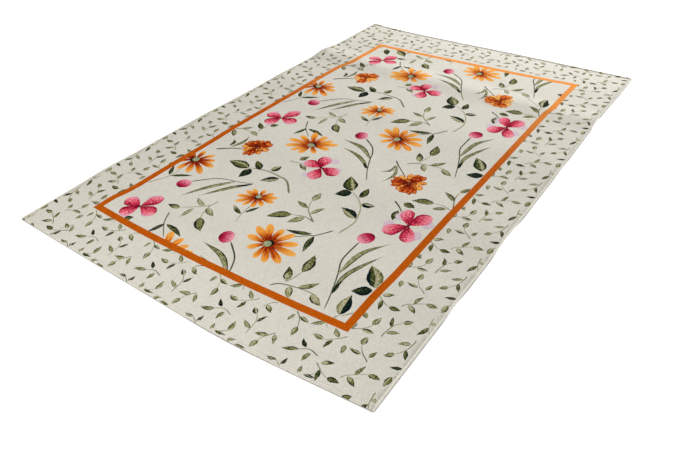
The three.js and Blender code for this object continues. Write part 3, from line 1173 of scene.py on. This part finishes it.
def ramp(tree, value, stops_and_colours):
    """A colour ramp, given as (place, colour) rows."""
    node = add(tree, "ShaderNodeValToRGB", {0: value})
    elements = node.color_ramp.elements
    while len(elements) < len(stops_and_colours):
        elements.new(0.5)
    for element, (stop, colour) in zip(elements, stops_and_colours):
        element.position = stop
        element.color = screen(*colour)
    return node.outputs[0]


def screen(red, green, blue):
    """A colour given in the 0 to 255 values of a screen, as the linear values of a shader."""
    linear = [((c / 255 + 0.055) / 1.055) ** 2.4 if c > 10 else c / 255 / 12.92 for c in (red, green, blue)]
    return (*linear, 1.0)


# %% Ground and orange line
def ground_paint(tree, mark):
    tint = between(tree, mark["Blotches"], 0.3, 0.7)
    return blend(tree, tint, screen(220, 215, 202), screen(225, 220, 208))


def far_sheen_mask(tree, start, end):
    """0 before one place along the rug and 1 beyond another, both in metres from its middle; it sets how
    much painted sheen pales the far end.
    """
    place = add(tree, "ShaderNodeSeparateXYZ", {0: add(tree, "ShaderNodeTexCoord").outputs["Object"]})
    return between(tree, place.outputs[1], start, end)


def band_paint(tree, mark):
    """Orange, darker at the near end and paler at the far end, where painted sheen lightens it."""
    worn = maths(tree, "MULTIPLY_ADD", mark["Grain"], 0.6, times(tree, mark["Blotches"], 0.4))
    near = ramp(tree, worn, [(0.3, (176, 74, 0)), (0.5, (194, 88, 2)), (0.75, (210, 108, 24))])
    # the far colours are paler by painted sheen
    far = ramp(tree, worn, [(0.3, (230, 128, 38)), (0.5, (243, 156, 74)), (0.75, (250, 178, 108))])
    return blend(tree, far_sheen_mask(tree, -0.1, 0.85), near, far)


# %% Leaves and stems
LEAF_COLOURS = [
    (0.0, (196, 190, 162)), (0.24, (164, 160, 119)), (0.46, (121, 121, 69)), (0.66, (81, 88, 35)),
    (0.82, (34, 50, 26)), (1.0, (6, 22, 28)),
]


def leaf_paint(tree, mark):
    right_half = between(tree, mark["Across"], 0.07, -0.07)
    tone_here = maths(tree, "MULTIPLY_ADD", maths(tree, "SUBTRACT", mark["Right Tone"], mark["Left Tone"]),
                      right_half, mark["Left Tone"])
    near_tip = times(tree, between(tree, mark["Along"], 0.25, 0.8),
                     between(tree, mark["Tip Tone"], -0.9, -0.1))
    to_tip = maths(tree, "SUBTRACT", mark["Tip Tone"], tone_here)
    tone_here = maths(tree, "MULTIPLY_ADD", to_tip, near_tip, tone_here)
    # side veins run slantwise from the midrib, broken up by the brush
    middle_distance = maths(tree, "ABSOLUTE", mark["Across"])
    slant = maths(tree, "MULTIPLY_ADD", middle_distance, -11.0, times(tree, mark["Along"], 36.0))
    veins = times(tree, between(tree, maths(tree, "SINE", slant), 0.0, 1.0),
                  between(tree, mark["Streaks"], 0.42, 0.6))
    tone_here = maths(tree, "MULTIPLY_ADD", veins, -0.4, tone_here)
    midrib = between(tree, middle_distance, 0.12, 0.0)
    tone_here = maths(tree, "MULTIPLY_ADD", midrib, 0.2, tone_here)
    # one side of the outline is drawn darker than the other
    side = times(tree, mark["Across"], maths(tree, "SUBTRACT", mark["Seed"], 0.5))
    edge = between(tree, middle_distance, 0.45, 0.85)
    drawn = times(tree, edge, between(tree, side, -0.02, 0.02, 0.3, 0.8))
    tone_here = maths(tree, "ADD", tone_here, drawn)
    tone_here = swayed(tree, tone_here, maths(tree, "ADD", mark["Streaks"], mark["Blotches"]), 1.0, 0.9)
    tone_here = swayed(tree, tone_here, maths(tree, "ADD", mark["Grain"], mark["Mottle"]), 1.0, 0.8)
    return ramp(tree, tone_here, LEAF_COLOURS)


def stem_paint(tree, mark):
    """A stem is darkest at its foot and fades a little towards its end."""
    varied = swayed(tree, mark["Left Tone"], mark["Streaks"], 0.5, 0.8)
    varied = swayed(tree, varied, mark["Grain"], 0.5, 0.6)
    varied = maths(tree, "MULTIPLY_ADD", mark["Along"], -0.28, varied)
    return ramp(tree, varied, [
        (0.0, (172, 167, 134)), (0.4, (130, 131, 98)), (0.75, (72, 80, 54)), (1, (36, 46, 40))])


# %% Pink flowers, their lobes and the buds
def pink_paint(tree, mark):
    """Dark at the foot, mottled crimson on one side, paler at the lobe's side and the tip."""
    which = maths(tree, "MULTIPLY_ADD", mark["Tip Tone"], 2.0, -1.0)
    to_lobe = times(tree, mark["Across"], which)
    out = maths(tree, "MULTIPLY_ADD", to_lobe, 0.32, maths(tree, "ADD", mark["Along"], 0.12))
    out = swayed(tree, out, mark["Mottle"], 0.5, 3.2)
    out = swayed(tree, out, mark["Streaks"], 0.6, 1.3)
    body = ramp(tree, out, [
        (0.08, (104, 0, 26)), (0.21, (190, 18, 54)), (0.4, (222, 54, 86)), (0.66, (236, 92, 116)),
        (0.86, (244, 138, 152)), (1.0, (246, 158, 170)),
    ])
    body = blend(tree, times(tree, mark["Rim"], 0.35), body, screen(190, 24, 66))
    pooled = times(tree, between(tree, to_lobe, -0.45, -0.9),
                   maths(tree, "MULTIPLY_ADD", mark["Left Tone"], 0.6, 0.4))
    body = blend(tree, pooled, body, screen(150, 8, 46))
    washed = times(tree, between(tree, to_lobe, 0.4, 1.0),
                   between(tree, mark["Along"], 0.35, 0.8))
    return blend(tree, times(tree, washed, mark["Right Tone"]), body, screen(234, 158, 182))


def lobe_paint(tree, mark):
    body = blend(tree, mark["Mottle"], screen(214, 192, 206), screen(222, 204, 208))
    return blend(tree, times(tree, mark["Rim"], 0.3), body, screen(204, 176, 200))


def bud_paint(tree, mark):
    """Rose, with a crimson end that is nearly black at its rim and speckled where it fades out."""
    out = swayed(tree, mark["Along"], mark["Mottle"], 0.5, 0.7)
    body = ramp(tree, out, [
        (0.02, (62, 0, 12)), (0.14, (142, 2, 38)), (0.3, (200, 40, 78)), (0.46, (223, 92, 122)),
        (0.62, (234, 128, 150)), (1.0, (242, 164, 180)),
    ])
    mid_length = times(tree, between(tree, mark["Along"], 0.15, 0.3),
                       between(tree, mark["Along"], 0.85, 0.6))
    specks = times(tree, between(tree, mark["Mottle"], 0.52, 0.56), mid_length)
    body = blend(tree, times(tree, specks, 0.9), body, screen(110, 0, 28))
    return blend(tree, times(tree, mark["Rim"], 0.35), body, screen(206, 66, 102))


def heart_paint(tree, mark):
    return blend(tree, mark["Left Tone"], screen(130, 44, 12), screen(58, 12, 24))


# %% Daisies and marigolds
def daisy_paint(tree, mark):
    """Amber tips, with rust streaks that run out from a dark foot."""
    out = swayed(tree, mark["Along"], mark["Streaks"], 0.5, 1.9)
    out = maths(tree, "ADD", maths(tree, "MULTIPLY_ADD", mark["Left Tone"], -0.45, out), 0.1)
    body = ramp(tree, out, [
        (0.06, (124, 24, 2)), (0.19, (184, 62, 8)), (0.31, (214, 104, 26)), (0.43, (234, 144, 50)),
        (0.65, (243, 164, 68)), (1.0, (248, 184, 96)),
    ])
    foot = times(tree, mark["Rim"], between(tree, mark["Along"], 0.6, 0.2))
    body = blend(tree, times(tree, foot, 0.65), body, screen(140, 36, 2))
    midline = times(tree, between(tree, maths(tree, "ABSOLUTE", mark["Across"]), 0.35, 0.05),
                    between(tree, mark["Along"], 0.8, 0.3))
    return blend(tree, times(tree, midline, mark["Right Tone"]), body, screen(156, 46, 4))


def eye_paint(tree, mark):
    """A speckled grey-green disc over a black one."""
    speckled = ramp(tree, mark["Mottle"], [
        (0.35, (126, 136, 98)), (0.55, (168, 174, 134)), (0.7, (200, 198, 160))])
    shaded = between(tree, mark["Along"], 0.2, 0.0)
    speckled = blend(tree, times(tree, shaded, 0.6), speckled, screen(70, 82, 60))
    return blend(tree, mark["Left Tone"], speckled, screen(12, 20, 16))


def marigold_paint(tree, mark):
    """Pale orange petals behind, rust ones in front, with a drawn outline, paler at the far end by painted
    sheen.
    """
    out = swayed(tree, mark["Along"], mark["Streaks"], 0.5, 2.4)
    out = swayed(tree, out, mark["Mottle"], 0.5, 0.8)
    out = swayed(tree, out, mark["Blotches"], 0.54, 2.8)
    # painted sheen: the petals and their outline grow paler towards the far end
    far = far_sheen_mask(tree, 0.05, 0.7)
    out = maths(tree, "MULTIPLY_ADD", far, 0.42, out)
    pale = ramp(tree, out, [
        (0.1, (140, 46, 8)), (0.28, (220, 124, 38)), (0.5, (244, 164, 68)), (1.0, (249, 188, 104))])
    rust = ramp(tree, out, [
        (0.12, (86, 8, 0)), (0.38, (160, 36, 0)), (0.64, (192, 62, 8)), (0.88, (224, 108, 34)),
        (1.0, (240, 142, 56))])
    body = blend(tree, between(tree, mark["Left Tone"], 0.3, 0.7), pale, rust)
    ink = blend(tree, mark["Left Tone"], screen(198, 92, 22), screen(124, 24, 2))
    drawn = times(tree, mark["Tip Tone"], maths(tree, "MULTIPLY_ADD", far, -0.4, 0.85))
    return blend(tree, drawn, body, ink)


PAINTS = {
    "ground": ground_paint, "band": band_paint, "stem": stem_paint, "leaf": leaf_paint,
    "lobe": lobe_paint, "pink": pink_paint, "marigold": marigold_paint, "daisy": daisy_paint,
    "heart": heart_paint, "eye": eye_paint, "bud": bud_paint,
}
for kind in KINDS:
    rug_mesh.materials.append(printed(f"print_{kind}", PAINTS[kind]))


def underside_paint(tree, mark):
    return blend(tree, mark["Blotches"], screen(200, 196, 182), screen(212, 208, 194))


rug_mesh.materials.append(printed("unprinted_underside", underside_paint, joint_dark=0.25))
print("finishes on the cloth:", len(rug_mesh.materials))

# %% [markdown]
# ## The overcast long edges
# Ivory yarn is wound over each long edge, turn beside turn. In Geometry Nodes the yarn is one
# helix: a row of points, each placed round the edge by its number, and a small round section
# swept along them. The tree reads the edge's line from the object that it sits on.

# %% Tree for wound yarn
YARN_RADIUS = 1.22
YARN_PITCH = 2.4
STEPS_A_TURN = 10


def group_inputs(tree, rows):
    """Adds a geometry input, the named number inputs and a material input."""
    tree.interface.new_socket("Geometry", in_out="INPUT", socket_type="NodeSocketGeometry")
    for label, default in rows:
        kind = "NodeSocketInt" if isinstance(default, int) else "NodeSocketFloat"
        tree.interface.new_socket(label, in_out="INPUT", socket_type=kind).default_value = default
    tree.interface.new_socket("Material", in_out="INPUT", socket_type="NodeSocketMaterial")
    tree.interface.new_socket("Geometry", in_out="OUTPUT", socket_type="NodeSocketGeometry")
    return tree.nodes.new("NodeGroupInput").outputs, tree.nodes.new("NodeGroupOutput")


def put_out(tree, geometry, material, group_output):
    """Makes a tree's geometry one smooth mesh of a material, and puts it out."""
    geometry = add(tree, "GeometryNodeRealizeInstances", {0: geometry}).outputs[0]
    geometry = add(tree, "GeometryNodeSetShadeSmooth", {0: geometry}).outputs[0]
    geometry = add(tree, "GeometryNodeSetMaterial", {"Geometry": geometry, "Material": material}).outputs[0]
    tree.links.new(geometry, group_output.inputs[0])


winding = bpy.data.node_groups.new("wound_yarn", "GeometryNodeTree")
given, winding_out = group_inputs(winding, [
    ("Pitch", YARN_PITCH * MM), ("Width", OVERCAST_WIDTH * MM), ("Thickness", OVERCAST_THICK * MM),
    ("Yarn Radius", YARN_RADIUS * MM), ("Steps A Turn", STEPS_A_TURN),
])
edge_line = add(winding, "GeometryNodeMeshToCurve", {0: given["Geometry"]}).outputs[0]
length = add(winding, "GeometryNodeCurveLength", {0: edge_line}).outputs[0]
turns = maths(winding, "DIVIDE", length, given["Pitch"])
count = times(winding, turns, given["Steps A Turn"])
row = add(winding, "GeometryNodeMeshLine", {"Count": count})
helix = add(winding, "GeometryNodeMeshToCurve", {0: row.outputs[0]}).outputs[0]
number = add(winding, "GeometryNodeInputIndex").outputs[0]
factor = maths(winding, "DIVIDE", number, count)
sampled = add(winding, "GeometryNodeSampleCurve", {"Curves": edge_line, "Factor": factor},
              mode="FACTOR", use_all_curves=True)
angle = times(winding, maths(winding, "DIVIDE", number, given["Steps A Turn"]), math.tau)


def squarish(wave):
    """A sine or cosine made fuller, so that the winding's section is a rounded oblong."""
    size = maths(winding, "POWER", maths(winding, "ABSOLUTE", wave), 0.7)
    return times(winding, size, maths(winding, "SIGN", wave))


def reach_of(size):
    """How far the yarn's middle goes from the winding's centre."""
    return maths(winding, "SUBTRACT", maths(winding, "DIVIDE", size, 2.0), given["Yarn Radius"])


aside = times(winding, squarish(maths(winding, "COSINE", angle)), reach_of(given["Width"]))
above = times(winding, squarish(maths(winding, "SINE", angle)), reach_of(given["Thickness"]))
offset = add(winding, "ShaderNodeCombineXYZ", {0: aside, 2: above}).outputs[0]
wound_place = add(winding, "ShaderNodeVectorMath", {0: sampled.outputs["Position"], 1: offset},
                  operation="ADD").outputs[0]
helix = add(winding, "GeometryNodeSetPosition", {"Geometry": helix, "Position": wound_place}).outputs[0]
helix = add(winding, "GeometryNodeStoreNamedAttribute", {
    "Geometry": helix, "Name": "turns", "Value": maths(winding, "DIVIDE", number, given["Steps A Turn"])},
    data_type="FLOAT", domain="POINT").outputs[0]
section = add(winding, "GeometryNodeCurvePrimitiveCircle", {
    "Resolution": 5, "Radius": given["Yarn Radius"]})
swept = add(winding, "GeometryNodeCurveToMesh", {
    "Curve": helix, "Profile Curve": section.outputs[0], "Fill Caps": True}).outputs[0]
put_out(winding, swept, given["Material"], winding_out)
print("tree:", winding.name, "with", len(winding.nodes), "nodes")

# %% Finish of the edge yarn
ivory_yarn, tree = blank_material("ivory_edge_yarn")
coordinates = add(tree, "ShaderNodeTexCoord").outputs["Object"]
hairs = noise(tree, coordinates, 1400.0, 3.0)
soiled = noise(tree, coordinates, 35.0, 2.0)
twist = add(tree, "ShaderNodeAttribute", attribute_name="turns").outputs["Fac"]
plies = maths(tree, "SINE", times(tree, twist, math.tau * 9))
plies = between(tree, plies, -1.0, 1.0)
tint = maths(tree, "MULTIPLY_ADD", plies, 0.35, times(tree, hairs, 0.7))
colour = ramp(tree, tint, [(0.1, (222, 217, 199)), (0.5, (239, 236, 222)), (0.9, (249, 247, 236))])
colour = blend(tree, times(tree, between(tree, soiled, 0.5, 0.8), 0.3), colour,
               screen(214, 207, 186))
yarn_height = maths(tree, "MULTIPLY_ADD", hairs, 0.6, plies)
relief = add(tree, "ShaderNodeBump", {"Strength": 0.5, "Distance": 0.0003, "Height": yarn_height})
shader = add(tree, "ShaderNodeBsdfPrincipled", {
    "Base Color": colour, "Roughness": 0.85, "Sheen Weight": 0.15, "Specular IOR Level": 0.3,
    "Normal": relief.outputs[0]})
tree.links.new(shader.outputs[0], add(tree, "ShaderNodeOutputMaterial").inputs[0])


# %% Wind both edges
def set_inputs(modifier, values):
    """Sets a Geometry Nodes modifier's inputs by their identifiers."""
    for item in modifier.node_group.interface.items_tree:
        if item.item_type == "SOCKET" and item.in_out == "INPUT" and item.name in values:
            modifier[item.identifier] = values[item.name]


def grown(name, line, tree, values):
    """A plain mesh grown by a tree on a line of points."""
    guide_mesh = bpy.data.meshes.new(name + "_guide")
    guide_mesh.from_pydata(line.tolist(), [[i, i + 1] for i in range(len(line) - 1)], [])
    guide = new_object(name + "_guide", guide_mesh)
    modifier = guide.modifiers.new("grow", "NODES")
    modifier.node_group = tree
    set_inputs(modifier, values)
    evaluated = guide.evaluated_get(bpy.context.evaluated_depsgraph_get())
    mesh = bpy.data.meshes.new_from_object(evaluated)
    mesh.name = name
    bpy.data.objects.remove(guide)
    mesh.calc_loop_triangles()
    print(name, len(mesh.loop_triangles), "triangles")
    return new_object(name, mesh)


edge_stops = stops(YARN_RADIUS, LENGTH - YARN_RADIUS, spacing=6)
yarns = {}
for side, middle in (("left", OVERCAST_WIDTH / 2), ("right", WIDTH - OVERCAST_WIDTH / 2)):
    edge_line = laid(np.full_like(edge_stops, middle), edge_stops, OVERCAST_THICK / 2)
    yarns[side] = grown(f"wound_edge_{side}", edge_line, winding, {"Material": ivory_yarn})

# %% [markdown]
# ## The hem's stitches
# One row of small straight stitches holds each hem, 9 mm from the fold. Each stitch is a
# slender bead with few faces, set along a line on the cloth.

# %% Tree for a row of stitches
STITCH_PITCH, STITCH_LENGTH, STITCH_WIDTH, STITCH_HEIGHT = 4.3, 3.0, 0.75, 0.5
stitching = bpy.data.node_groups.new("row_of_stitches", "GeometryNodeTree")
given, stitching_out = group_inputs(stitching, [
    ("Pitch", STITCH_PITCH * MM), ("Length", STITCH_LENGTH * MM), ("Width", STITCH_WIDTH * MM),
    ("Height", STITCH_HEIGHT * MM), ("Seed", 5),
])
line = add(stitching, "GeometryNodeMeshToCurve", {0: given["Geometry"]}).outputs[0]
spots = add(stitching, "GeometryNodeCurveToPoints", {
    "Curve": line, "Length": given["Pitch"]}, mode="LENGTH")
bead = add(stitching, "GeometryNodeMeshUVSphere", {"Segments": 6, "Rings": 5, "Radius": 0.5}).outputs[0]
size = add(stitching, "ShaderNodeCombineXYZ", {
    0: given["Width"], 1: given["Height"], 2: given["Length"]}).outputs[0]
jitter = add(stitching, "FunctionNodeRandomValue", {2: 0.85, 3: 1.1, "Seed": given["Seed"]},
             data_type="FLOAT").outputs[1]
scaled = add(stitching, "ShaderNodeVectorMath", {0: size, "Scale": jitter}, operation="SCALE").outputs[0]
placed = add(stitching, "GeometryNodeInstanceOnPoints", {
    "Points": spots.outputs["Points"], "Instance": bead, "Rotation": spots.outputs["Rotation"],
    "Scale": scaled}).outputs[0]
put_out(stitching, placed, given["Material"], stitching_out)

# %% Sew both hems
ROW_MARGIN, STITCH_RISE = 3, 0.05
stitch_stops = stops(OVERCAST_WIDTH + ROW_MARGIN, WIDTH - OVERCAST_WIDTH - ROW_MARGIN, spacing=8)
stitches = {}
for end, along_place in (("near", HEM_DEPTH - 1), ("far", LENGTH - HEM_DEPTH + 1)):
    line = laid(stitch_stops, np.full_like(stitch_stops, along_place), HEM_THICK + STITCH_RISE)
    stitches[end] = grown(f"hem_stitches_{end}", line, stitching, {"Material": ivory_yarn})

# %% [markdown]
# ## Floor, light and camera
# The rug lies on a plain white floor in soft studio light. The camera stands where the
# photograph was taken from, found from the rug's four corners.

# %% White floor
FLOOR_HALF = 40.0
floor_mesh = bpy.data.meshes.new("floor")
corners = [(FLOOR_HALF * x, FLOOR_HALF * y, 0) for x, y in ((-1, -1), (1, -1), (1, 1), (-1, 1))]
floor_mesh.from_pydata(corners, [], [[0, 1, 2, 3]])
floor = new_object("floor", floor_mesh)
white = bpy.data.materials.new("white_floor")
white.use_nodes = True
white_shader = white.node_tree.nodes["Principled BSDF"]
white_shader.inputs["Roughness"].default_value = 0.8
# studio floors are lit until they are white: a glow does that, except close under the rug, where it fades
# and a painted contact shadow darkens the floor's colour to brown
white_shader.inputs["Emission Color"].default_value = (1, 1, 1, 1)
SHADE_REACH, FLOOR_GLOW = 0.006, 0.6
open_above = add(white.node_tree, "ShaderNodeAmbientOcclusion", {"Distance": SHADE_REACH}).outputs["AO"]
open_above = maths(white.node_tree, "POWER", open_above, 2.0)
glow = times(white.node_tree, open_above, FLOOR_GLOW)
white.node_tree.links.new(glow, white_shader.inputs["Emission Strength"])
# painted contact shadow: the floor's colour turns brown where the rug closes it in
floor_colour_with_painted_shadow = blend(white.node_tree, open_above, screen(96, 84, 70), screen(248, 248, 248))
white.node_tree.links.new(floor_colour_with_painted_shadow, white_shader.inputs["Base Color"])
floor_mesh.materials.append(white)

# %% Soft light
scene = bpy.context.scene
scene.view_settings.view_transform = "Standard"
world = bpy.data.worlds.new("studio")
world.use_nodes = True
background = world.node_tree.nodes["Background"]
background.inputs["Color"].default_value = (1, 1, 1, 1)
background.inputs["Strength"].default_value = 0.45
scene.world = world


def soft_box(name, place, aim, size, power, colour=(1, 1, 1)):
    """An area light that points at a place on the rug."""
    light = bpy.data.lights.new(name, "AREA")
    light.color = colour
    light.shape = "SQUARE"
    light.size = size
    light.energy = power
    box = new_object(name, light)
    box.location = place
    box.rotation_euler = (Vector(aim) - Vector(place)).to_track_quat("-Z", "Y").to_euler()


soft_box("far_light", (0.3, 3.1, 1.1), (0.2, 0.9, 0), 1.4, 116, (0.98, 0.99, 1))
soft_box("near_light", (-0.05, -1.75, 1.25), (0, -0.7, 0), 1.2, 14.5, (1, 0.99, 0.975))

# %% Camera
# found from the rug's corners in the photograph, whose frame is 700 by 465 pixels
FRAME_WIDE, FRAME_HIGH = 700, 465
FOCAL_PX = 621
PRINCIPAL_X, PRINCIPAL_Y = 376, 232
AZIMUTH, ELEVATION, ROLL = math.radians(-34.3), math.radians(38.2), math.radians(-1.38)
CAMERA_AT = Vector((1.0385, -1.502, 1.041))

ahead = Vector((math.sin(AZIMUTH) * math.cos(ELEVATION), math.cos(AZIMUTH) * math.cos(ELEVATION),
                -math.sin(ELEVATION)))
level_right = ahead.cross(Vector((0, 0, 1))).normalized()
level_up = level_right.cross(ahead)
right = level_right * math.cos(ROLL) + level_up * math.sin(ROLL)
up = right.cross(ahead)
camera_data = bpy.data.cameras.new("camera")
camera_data.lens = FOCAL_PX / FRAME_WIDE * camera_data.sensor_width
camera_data.shift_x = (FRAME_WIDE / 2 - PRINCIPAL_X) / FRAME_WIDE
camera_data.shift_y = (PRINCIPAL_Y - FRAME_HIGH / 2) / FRAME_WIDE
camera = new_object("camera", camera_data)
camera.matrix_world = Matrix((right, up, -ahead)).transposed().to_4x4()
camera.location = CAMERA_AT
scene.camera = camera
print("lens:", round(camera_data.lens, 2), "mm")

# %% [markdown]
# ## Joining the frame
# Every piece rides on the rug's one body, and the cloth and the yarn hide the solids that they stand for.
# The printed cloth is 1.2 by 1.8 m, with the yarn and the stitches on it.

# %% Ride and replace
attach(rug, "root")
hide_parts("rug_cloth")
for side, yarn in yarns.items():
    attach(yarn, "root")
    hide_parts(f"overcast_edge_{side}")
for row in stitches.values():
    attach(row, "root")
